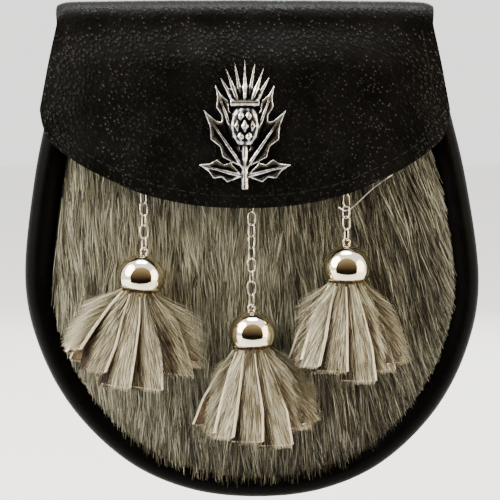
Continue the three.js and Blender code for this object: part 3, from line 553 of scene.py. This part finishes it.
for row in TASSELS:
    mesh = bmesh.new()
    inner, path = DOME - DOME_WALL, []
    for i in range(13):
        a = i / 12 * math.acos(-DOME_CUT / inner)
        path.append((inner * math.sin(a), inner * math.cos(a)))
    for i in range(24, -1, -1):
        a = i / 24 * math.acos(-DOME_CUT / DOME)
        path.append((DOME * math.sin(a), DOME * math.cos(a)))
    corners = [mesh.verts.new((max(r, 0), 0, z)) for r, z in path]
    edges = [mesh.edges.new(pair) for pair in zip(corners, corners[1:])]
    bmesh.ops.spin(mesh, geom=corners + edges, cent=(0, 0, 0), axis=(0, 0, 1), angle=math.tau,
                   steps=56, use_merge=True)
    bmesh.ops.remove_doubles(mesh, verts=mesh.verts, dist=1e-4)
    bmesh.ops.recalc_face_normals(mesh, faces=mesh.faces)
    ring = bmesh.ops.create_circle(mesh, segments=10, radius=EYE_WIRE / 2)["verts"]
    bmesh.ops.translate(mesh, verts=ring, vec=(EYE, 0, 0))
    edges = [e for e in mesh.edges if e.verts[0] in ring]
    for v in mesh.verts:
        v.tag = True
    for v in ring:
        v.tag = False
    bmesh.ops.spin(mesh, geom=ring + edges, cent=(0, 0, 0), axis=(0, 1, 0), angle=math.tau,
                   steps=32, use_merge=True)
    fresh = [v for v in mesh.verts if not v.tag]
    bmesh.ops.recalc_face_normals(mesh, faces=[f for f in mesh.faces if not f.verts[0].tag])
    bmesh.ops.translate(mesh, verts=fresh, vec=(0, 0, DOME + EYE_RISE))
    bmesh.ops.transform(mesh, matrix=Matrix.Scale(MM, 4) @ tassel_frame(row), verts=mesh.verts)
    shown("dome_" + row.name, mesh, dome_plate, ["tassel_dome_" + row.name])


# Badge: a thistle and leaves, cast in zinc, silver-plated, blackened and rubbed bright on its
# high places. Two posts go through the flap.

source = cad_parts["badge"]
mesh = bmesh.new()
mesh.from_mesh(source.data)
bmesh.ops.remove_doubles(mesh, verts=mesh.verts, dist=1e-6)
rough_copy = bpy.data.objects.new("badge_rough", bpy.data.meshes.new("badge_rough"))
mesh.to_mesh(rough_copy.data)
mesh.free()
bpy.context.collection.objects.link(rough_copy)
remesh = rough_copy.modifiers.new("remesh", "REMESH")
remesh.mode, remesh.voxel_size = "VOXEL", 0.33 * MM
bpy.context.view_layer.update()
settled = bpy.data.meshes.new_from_object(
    rough_copy.evaluated_get(bpy.context.evaluated_depsgraph_get()))
bpy.data.objects.remove(rough_copy)
mesh = bmesh.new()
mesh.from_mesh(settled)
for _ in range(3):
    bmesh.ops.smooth_vert(mesh, verts=mesh.verts, factor=0.5, use_axis_x=True, use_axis_y=True,
                          use_axis_z=True)
soft = mesh.copy()
for _ in range(26):
    bmesh.ops.smooth_vert(soft, verts=soft.verts, factor=0.5, use_axis_x=True, use_axis_y=True,
                          use_axis_z=True)
mesh.normal_update()
soft.verts.ensure_lookup_table()
mesh.verts.ensure_lookup_table()
recess = [(soft.verts[v.index].co - v.co).dot(v.normal) / MM for v in mesh.verts]
soft.free()


def antique_silver():
    """Cast silver plate, chemically blackened: grey metal, dark in the hollows, bright on the ridges."""
    made, tree = material("antiqued silver plate on cast zinc")
    place = node(tree, "ShaderNodeTexCoord").outputs["Object"]
    depth = node(tree, "ShaderNodeAttribute", {"attribute_name": "recess"}).outputs["Fac"]
    cloud = node(tree, "ShaderNodeTexNoise", {"Scale": 500.0, "Detail": 6.0}, {"Vector": place})
    mixed = node(tree, "ShaderNodeMath", {"operation": "MULTIPLY_ADD", 1: 0.35},
                 {0: cloud.outputs["Fac"], 2: depth})
    colour = ramp(tree, mixed.outputs[0], [(0.1, "#f2f1ed"), (0.2, "#a3a3a3"),
                                             (0.27, "#3c3c3f"), (0.42, "#0b0b0d")])
    rough = node(tree, "ShaderNodeMapRange", {1: 0.1, 2: 0.6, 3: 0.2, 4: 0.5},
                 {"Value": mixed.outputs[0]})
    bump = node(tree, "ShaderNodeBump", {"Strength": 0.3, "Distance": 0.0002},
                {"Height": cloud.outputs["Fac"]})
    surface(tree, {"Metallic": 1.0},
            {"Base Color": colour, "Roughness": rough.outputs[0], "Normal": bump.outputs[0]})
    return made


badge = shown("badge_cast", mesh, antique_silver(), ["badge"])
layer = badge.data.attributes.new("recess", "FLOAT", "POINT")
layer.data.foreach_set("value", np.clip(np.array(recess) * 2.2 + 0.12, 0, 1))


# Pelt: short-haired hide with its hair lying down, glued and sewn in behind the rim. The ground
# is the hide and its under-hair, and the hairs are thin blades that lie on it in locks.

ground_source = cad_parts["fur_panel"]
mesh = bmesh.new()
mesh.from_mesh(ground_source.data)
bmesh.ops.remove_doubles(mesh, verts=mesh.verts, dist=1e-6)


def under_hair():
    """Dense under-hair: matt, dark brown-grey, streaked along the nap."""
    made, tree = material("matt under-hair of the pelt")
    place = node(tree, "ShaderNodeTexCoord").outputs["Object"]
    # Streaks are drawn 0.5 mm wide and 12 mm long, coarser than real hair, so that they show.
    drawn = node(tree, "ShaderNodeMapping", {"Scale": (2000.0, 400.0, 85.0)}, {"Vector": place})
    streak = node(tree, "ShaderNodeTexNoise", {"Scale": 1.0, "Detail": 3.0}, {"Vector": drawn.outputs[0]})
    colour = ramp(tree, streak.outputs["Fac"], [(0.35, "#1a160f"), (0.55, "#342d20"), (0.7, "#5a523f")])
    bump = node(tree, "ShaderNodeBump", {"Strength": 0.6, "Distance": 0.0006},
                {"Height": streak.outputs["Fac"]})
    surface(tree, {"Roughness": 0.8}, {"Base Color": colour, "Normal": bump.outputs[0]})
    return made


shown("pelt_ground", mesh, under_hair(), ["fur_panel"])


# A 1 mm grid over the front: how many points it has each way, and which of them is the origin.
GRID, GRID_X, GRID_Z = 211, 105, 155


def front_of(names):
    """Rays from the front on a 1 mm grid: the front face of these nodes, in millimetres."""
    corners, faces = [], []
    for name in names:
        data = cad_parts[name].data
        base = len(corners)
        corners += [v.co.copy() for v in data.vertices]
        faces += [[base + i for i in p.vertices] for p in data.polygons]
    tree = BVHTree.FromPolygons(corners, faces)
    found = np.full((GRID, GRID), BACK_INNER - HIDE_FRONT)
    for i in range(GRID):
        for k in range(GRID):
            start = Vector(((i - GRID_X) * MM, -0.2, (k - GRID_Z) * MM))
            hit = tree.ray_cast(start, Vector((0, 1, 0)), 0.5)[0]
            if hit is not None:
                found[i, k] = hit.y / MM
    for _ in range(2):
        padded = np.pad(found, 1, mode="edge")
        found = sum(padded[a:a + GRID, b:b + GRID] for a in range(3) for b in range(3)) / 9
    return found


ground = front_of(["fur_panel", "side_rim"])


def inset_field():
    """How far each place of the same grid lies inside the body's outline, in millimetres."""
    edge = outline(0, RIM_STEPS)
    edge = np.column_stack([edge[:, 0] + lean(edge[:, 1]), edge[:, 1]])
    steps = np.arange(GRID)
    gx, gz = np.meshgrid(steps - float(GRID_X), steps - float(GRID_Z), indexing="ij")
    far = np.full(gx.shape, 1e9)
    within = np.zeros(gx.shape, bool)
    for (ax, az), (bx, bz) in zip(edge, np.roll(edge, -1, axis=0)):
        far = np.minimum(far, np.hypot(gx - ax, gz - az))
        within ^= ((az > gz) != (bz > gz)) & (gx < (bx - ax) * (gz - az) / (bz - az + 1e-9) + ax)
    return np.where(within, far, -far)


inset_grid = inset_field()


def sample(grid_values, x, z):
    """Reads a 1 mm grid at places between its points."""
    i, k = np.clip(x + GRID_X, 0, GRID - 1.01), np.clip(z + GRID_Z, 0, GRID - 1.01)
    a, b = i.astype(int), k.astype(int)
    s, t = i - a, k - b
    return ((grid_values[a, b] * (1 - s) + grid_values[a + 1, b] * s) * (1 - t)
            + (grid_values[a, b + 1] * (1 - s) + grid_values[a + 1, b + 1] * s) * t)


def blades(name, spine, wide, facing, tint, finish):
    """One mesh of thin tapering blades. spine is hairs by points by 3, in millimetres, and facing
    the direction across each blade. tint and the share along each hair are stored as colours."""
    hairs, steps = spine.shape[:2]
    share = np.linspace(0, 1, steps)
    half = wide[:, None] / 2 * (1 - 0.75 * share ** 2)[None]
    a = spine - facing[:, None] * half[..., None]
    b = spine + facing[:, None] * half[..., None]
    points = np.stack([a, b], 2).reshape(-1, 3) * MM
    base = np.arange(hairs)[:, None] * steps * 2 + np.arange(steps - 1)[None] * 2
    quads = np.stack([base, base + 1, base + 3, base + 2], 2).reshape(-1, 4)
    data = bpy.data.meshes.new(name)
    data.vertices.add(len(points))
    data.vertices.foreach_set("co", points.ravel())
    data.loops.add(quads.size)
    data.loops.foreach_set("vertex_index", quads.ravel())
    data.polygons.add(len(quads))
    data.polygons.foreach_set("loop_start", np.arange(len(quads)) * 4)
    data.update()
    data.validate()
    layer = data.attributes.new("tint", "FLOAT", "POINT")
    layer.data.foreach_set("value", np.repeat(tint, steps * 2).astype(np.float32))
    layer = data.attributes.new("along", "FLOAT", "POINT")
    layer.data.foreach_set("value", np.tile(np.repeat(share, 2), hairs).astype(np.float32))
    made = bpy.data.objects.new(name, data)
    bpy.context.collection.objects.link(made)
    data.shade_smooth()
    data.materials.append(finish)
    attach(made, "root")
    return made


def hair(name, tones, tips, rough):
    """Animal hair: each one its own tone, paler at its tip, with a soft shine along the nap."""
    made, tree = material(name)
    tint = node(tree, "ShaderNodeAttribute", {"attribute_name": "tint"}).outputs["Fac"]
    along = node(tree, "ShaderNodeAttribute", {"attribute_name": "along"}).outputs["Fac"]
    body = ramp(tree, tint, tones)
    tip = ramp(tree, tint, tips)
    share = node(tree, "ShaderNodeMapRange", {1: 0.2, 2: 1.0, 3: 0.0, 4: 1.0}, {"Value": along})
    colour = node(tree, "ShaderNodeMix", {"data_type": "RGBA"},
                  {"Factor": share.outputs[0], "A": body, "B": tip})
    surface(tree, {"Roughness": rough, "Specular IOR Level": 0.35},
            {"Base Color": colour.outputs["Result"]})
    return made


pelt_hair = hair("guard hair of a short grey-brown pelt",
                 [(0.0, "#0d0a07"), (0.3, "#322d22"), (0.6, "#686552"), (1.0, "#a3a28c")],
                 [(0.0, "#17130d"), (0.3, "#433e30"), (0.6, "#7c7a66"), (1.0, "#b9b9a5")], 0.5)


def pelt(name, count, seed, long, wide, lift, shade):
    """One coat of hair. Each hair leans with its lock, and the outline's rim cuts its reach."""
    rng = np.random.default_rng(seed)
    x, z = rng.uniform(-95, 98, count * 3), rng.uniform(-150, 12, count * 3)
    across_shares, drop_shares = np.array(FLAP_EDGE).T
    flap_share = np.interp(np.abs(x) / (FLAP_HALF + FLAP_FLARE), across_shares, drop_shares)
    flap_low = TOP - FLAP_DROP * flap_share
    keep = (sample(inset_grid, x, z) > ROLL + 0.8) & (z < flap_low + 14)
    x, z = x[keep][:count], z[keep][:count]
    n = len(x)
    # Locks: each hair leans to the tip of the nearest of some 1,100 guides.
    gx, gz = np.meshgrid(np.arange(-100, 105, 4.2), np.arange(-156, 24, 8.5))
    gx = gx.ravel() + rng.uniform(-2, 2, gx.size)
    gz = gz.ravel() + rng.uniform(-4, 4, gz.size)
    guide_slant, guide_tone = rng.normal(0, 0.07, gx.size), rng.normal(0, 0.09, gx.size)
    guide_lift = rng.uniform(0, 1.0, gx.size)
    near = np.concatenate([np.argmin(((x[i:i + 2000, None] - gx) * 1.7) ** 2
                                     + (z[i:i + 2000, None] - gz) ** 2, axis=1)
                           for i in range(0, n, 2000)])
    side = np.clip((x - 5) / 80, 0, 1)
    slant = 0.03 + 0.36 * side ** 1.2 + guide_slant[near] + rng.normal(0, 0.05, n)
    low = np.clip((-z - 100) / 45, 0, 1)
    reach = long * rng.uniform(0.6, 1.2, n)
    toward = (gx[near] + guide_slant[near] * 10 - x) * 0.4

    s = np.linspace(0, 1, 4)[None]

    def path(reach):
        px = x[:, None] + (slant * reach)[:, None] * s + (toward * reach / long)[:, None] * s ** 1.5
        pz = z[:, None] - reach[:, None] * s * np.sqrt(1 / (1 + slant ** 2))[:, None]
        return px, pz

    px, pz = path(reach)
    # How far each hair may overrun the rim's inner edge: a few single ones reach well past it.
    even = rng.uniform(0, 1, n)
    spike = 4.5 * rng.uniform(0, 1, n) ** 7
    over = 0.5 + even + (0.2 + low) * (1.3 * guide_lift[near] + spike)
    start, tip = sample(inset_grid, x, z), sample(inset_grid, px[:, -1], pz[:, -1])
    cap = np.where(tip < ROLL - over, (start - ROLL + over) / np.maximum(start - tip, 0.01), 1)
    px, pz = path(reach * np.clip(cap, 0.06, 1))
    rise = (0.15 + (rng.uniform(0, 1, n) * lift + guide_lift[near] * 0.5)[:, None]
            * np.sin(np.clip(s * 1.1, 0, 1) * math.pi * 0.62) ** 0.8)
    py = sample(ground, px, pz) - rise
    py[:, 0] = sample(ground, px[:, 0], pz[:, 0]) + 0.3
    roll = rng.normal(0, 0.8, n)
    facing = np.column_stack([np.cos(roll), np.sin(roll), slant * np.cos(roll)])
    facing /= np.linalg.norm(facing, axis=1)[:, None]
    # Painted highlight: the coat is paler where it turns down at the right border, as if lit there. Painted
    # shade, partly the coat's own colour: it is darker toward the right, away from the key lamp. It is also
    # darker and browner low down.
    painted_border_highlight = np.clip((ROLL + 8 - start) / 6, 0, 1) * np.clip(side * 3 - 1.6, 0, 1) * (1 - low)
    tone = (0.64 + guide_tone[near] + rng.normal(0, 0.27 + 0.1 * side, n) - 0.4 * side ** 0.8 - 0.46 * low
            + 0.4 * painted_border_highlight)
    blades(name, np.stack([px, py, pz], 2), wide * rng.uniform(0.6, 1.3, n), facing,
           np.clip(tone + shade, 0, 1), pelt_hair)


pelt("pelt_hair_under", 24000, 3, 15, 0.46, 0.7, -0.2)
pelt("pelt_hair_over", 32000, 4, 17, 0.3, 1.7, 0.03)


# Tassels: strips of long-haired hide, packed hair side out round a plug in the dome. The cut
# edge of each strip shows as a pale line, and the hair is cream with brown roots.

STRIP = [(0.03, 0.06, 0.19, 0.08), (0.4, 0.34, 0.42, 0.14), (0.75, 0.68, 0.6, 0.15), (1, 1, 0.67, 0.07)]
SHINGLE = 1.4
strip_table = np.array(STRIP)
seed = 11


def random_share():
    """The same short random sequence as the CAD's strips have, so that the hair lies on them."""
    global seed
    seed = (seed * 16807) % 2147483647
    return seed / 2147483647


def hide_side(name, dark, mid, light):
    """Tawed hide: matt, a little soiled, streaked along the strip."""
    made, tree = material(name)
    place = node(tree, "ShaderNodeTexCoord").outputs["Object"]
    drawn = node(tree, "ShaderNodeMapping", {"Scale": (1500.0, 1500.0, 120.0)}, {"Vector": place})
    streak = node(tree, "ShaderNodeTexNoise", {"Scale": 1.0, "Detail": 3.0}, {"Vector": drawn.outputs[0]})
    colour = ramp(tree, streak.outputs["Fac"], [(0.3, dark), (0.5, mid), (0.7, light)])
    bump = node(tree, "ShaderNodeBump", {"Strength": 0.5, "Distance": 0.0005},
                {"Height": streak.outputs["Fac"]})
    surface(tree, {"Roughness": 0.8}, {"Base Color": colour, "Normal": bump.outputs[0]})
    return made


strip_hide = hide_side("flesh side of the tassel strips", "#2e2013", "#5c4429", "#8f7a58")
tassel_hair = hair("long cream tassel hair",
                   [(0.0, "#100a05"), (0.2, "#43301d"), (0.42, "#645c44"), (0.7, "#959074"),
                    (1.0, "#d6d2b6")],
                   [(0.0, "#1e140b"), (0.2, "#634a30"), (0.42, "#7d745a"), (0.7, "#aeaa8e"),
                    (1.0, "#ebe6d0")],
                   0.45)
cut_edge = hide_side("pale cut edge of the strips", "#b9a888", "#d8ceb4", "#e9e3d0")
HAIRS, EDGE_POINTS = 22000, 15


def strip_surface(row, angle, outer, hem, spread, t, a, lift):
    """Places on one strip: t runs from its head to its hem, a across it, lift out of its face."""
    collar = math.sqrt((DOME - DOME_WALL) ** 2 - DOME_CUT ** 2) - 0.3 - 0.14 * DOME
    past = np.clip(t - 1, 0, None)
    flare = np.interp(t, strip_table[:, 1], strip_table[:, 0])
    half = np.interp(t, strip_table[:, 1], strip_table[:, 2] * spread) * DOME
    thick = np.interp(t, strip_table[:, 1], strip_table[:, 3]) * DOME
    deep = row.back if angle < math.pi else row.deep
    rx = collar + ((row.wide - 0.2) * DOME - collar) * (flare * outer + past * 0.2)
    ry = collar + ((deep - 0.1) * DOME - collar) * (flare * outer + past * 0.2)
    down = -DOME_CUT + 0.14 * DOME - t * (hem - DOME_CUT + 0.14 * DOME)
    mid = np.stack([rx * math.cos(angle), ry * math.sin(angle), down], -1)
    across = np.stack([-rx * math.sin(angle), ry * math.cos(angle), 0 * rx], -1)
    across /= np.linalg.norm(across, axis=-1)[..., None]
    out = np.stack([across[..., 1], -across[..., 0], 0 * rx], -1)
    outward = thick * 1.1 * (1 - np.minimum(np.abs(a), 1)) + a * flare * SHINGLE + lift
    return mid + across * (a * half)[..., None] + out * outward[..., None], across, out


for row in TASSELS:
    name, strips = row.name, row.strips
    mesh = bmesh.new()
    mesh.from_mesh(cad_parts["tassel_skirt_" + name].data)
    bmesh.ops.remove_doubles(mesh, verts=mesh.verts, dist=1e-6)
    shown("skirt_hide_" + name, mesh, strip_hide, ["tassel_skirt_" + name])
    rng = np.random.default_rng(20 + len(name))
    place = np.array(tassel_frame(row))
    per = HAIRS // strips
    spines, facings, tints, widths = [], [], [], []
    edges = bmesh.new()
    for k in range(strips):
        angle = (k + 0.5) / strips * math.tau + math.radians(row.turn)
        outer = 1 if k % 2 == 0 else 0.86
        hem = DOME * (row.long * (0.93 + 0.09 * random_share()) - row.lift * math.cos(angle) ** 2)
        spread = np.array([0.9 + 0.2 * random_share() for _ in STRIP])
        strip = (row, angle, outer, hem, spread)
        beside = abs(math.cos(angle)) ** 4
        root = rng.uniform(0.04, 0.93, per) ** 0.85
        a0 = rng.uniform(-1, 1, per)
        run = np.minimum(rng.uniform(0.16, 0.34, per), 1.0 + 0.045 * rng.uniform(0, 1, per) - root)
        s = np.linspace(0, 1, 4)[None]
        t = root[:, None] + run[:, None] * s
        swept = (a0 + 2.2 * math.cos(angle) * run)[:, None]
        drift = swept - a0[:, None] + 0.8 * (a0 * run)[:, None]
        a = np.clip(a0[:, None] + drift * s, -1.2, 0.93 + 0.3 * beside)
        airy = beside * (row.airy_left if math.cos(angle) < 0 else row.airy_right)
        fluff = (rng.uniform(0.05, 0.8, per)
                 + airy * rng.uniform(0, 1, per) ** 0.8 * np.clip(1.1 - root, 0.1, 1))
        point, across, out = strip_surface(*strip, t, a, 0.12 + fluff[:, None] * s ** 1.3)
        spines.append(point)
        roll = rng.normal(0, 0.7, per)
        facings.append(across[:, 2] * np.cos(roll)[:, None] + out[:, 2] * np.sin(roll)[:, None])
        # Painted shade, partly the hair's own brown: the hair is darker in the valley beside the next
        # strip's raised edge, where that edge shades it. It is also browner toward the head.
        painted_valley_shade = (np.clip((-a0 - 0.05) / 0.45, 0, 1) * np.clip((root - 0.02) / 0.3, 0, 1)
                  * (1 - 0.7 * beside))
        dark = 0.42 * (rng.uniform(0, 1, per) < 0.25)
        tone = (0.75 + 0.12 * math.sin(k * 2.4) + rng.normal(0, 0.25, per) - dark - 0.75 * painted_valley_shade
                - 0.16 * np.clip(0.25 - root, 0, 1) / 0.25 - 0.1 * np.clip((root - 0.75) / 0.25, 0, 1))
        tints.append(np.clip(tone, 0, 1))
        widths.append(rng.uniform(0.16, 0.34, per) * (1 - 0.35 * beside))
        # The cut edge of the hide: a pale line along the raised side, and a finer one at the hem.
        down, over = np.linspace(0.1, 1.0, EDGE_POINTS), np.linspace(-1, 1, EDGE_POINTS)
        side_line = [strip_surface(*strip, down, np.full(EDGE_POINTS, a), np.full(EDGE_POINTS, lift))[0]
                     for a, lift in ((0.95, 0.7), (1.08, 0.8), (1.08, -0.5))]
        hem_line = [strip_surface(*strip, np.full(EDGE_POINTS, low), over, np.full(EDGE_POINTS, lift))[0]
                    for low, lift in ((0.998, 0.5), (1.01, 0.5), (1.01, -0.5))]
        for line in (side_line, hem_line):
            rows = [[edges.verts.new(Vector(place[:3, :3] @ q + place[:3, 3]) * MM) for q in ring]
                    for ring in line]
            for one, two in zip(rows, rows[1:]):
                for i in range(EDGE_POINTS - 1):
                    edges.faces.new((one[i], one[i + 1], two[i + 1], two[i]))
    shown("strip_edges_" + name, edges, cut_edge)
    spine = np.concatenate(spines) @ place[:3, :3].T + place[:3, 3]
    facing = np.concatenate(facings) @ place[:3, :3].T
    blades("tassel_hair_" + name, spine, np.concatenate(widths), facing, np.concatenate(tints),
           tassel_hair)
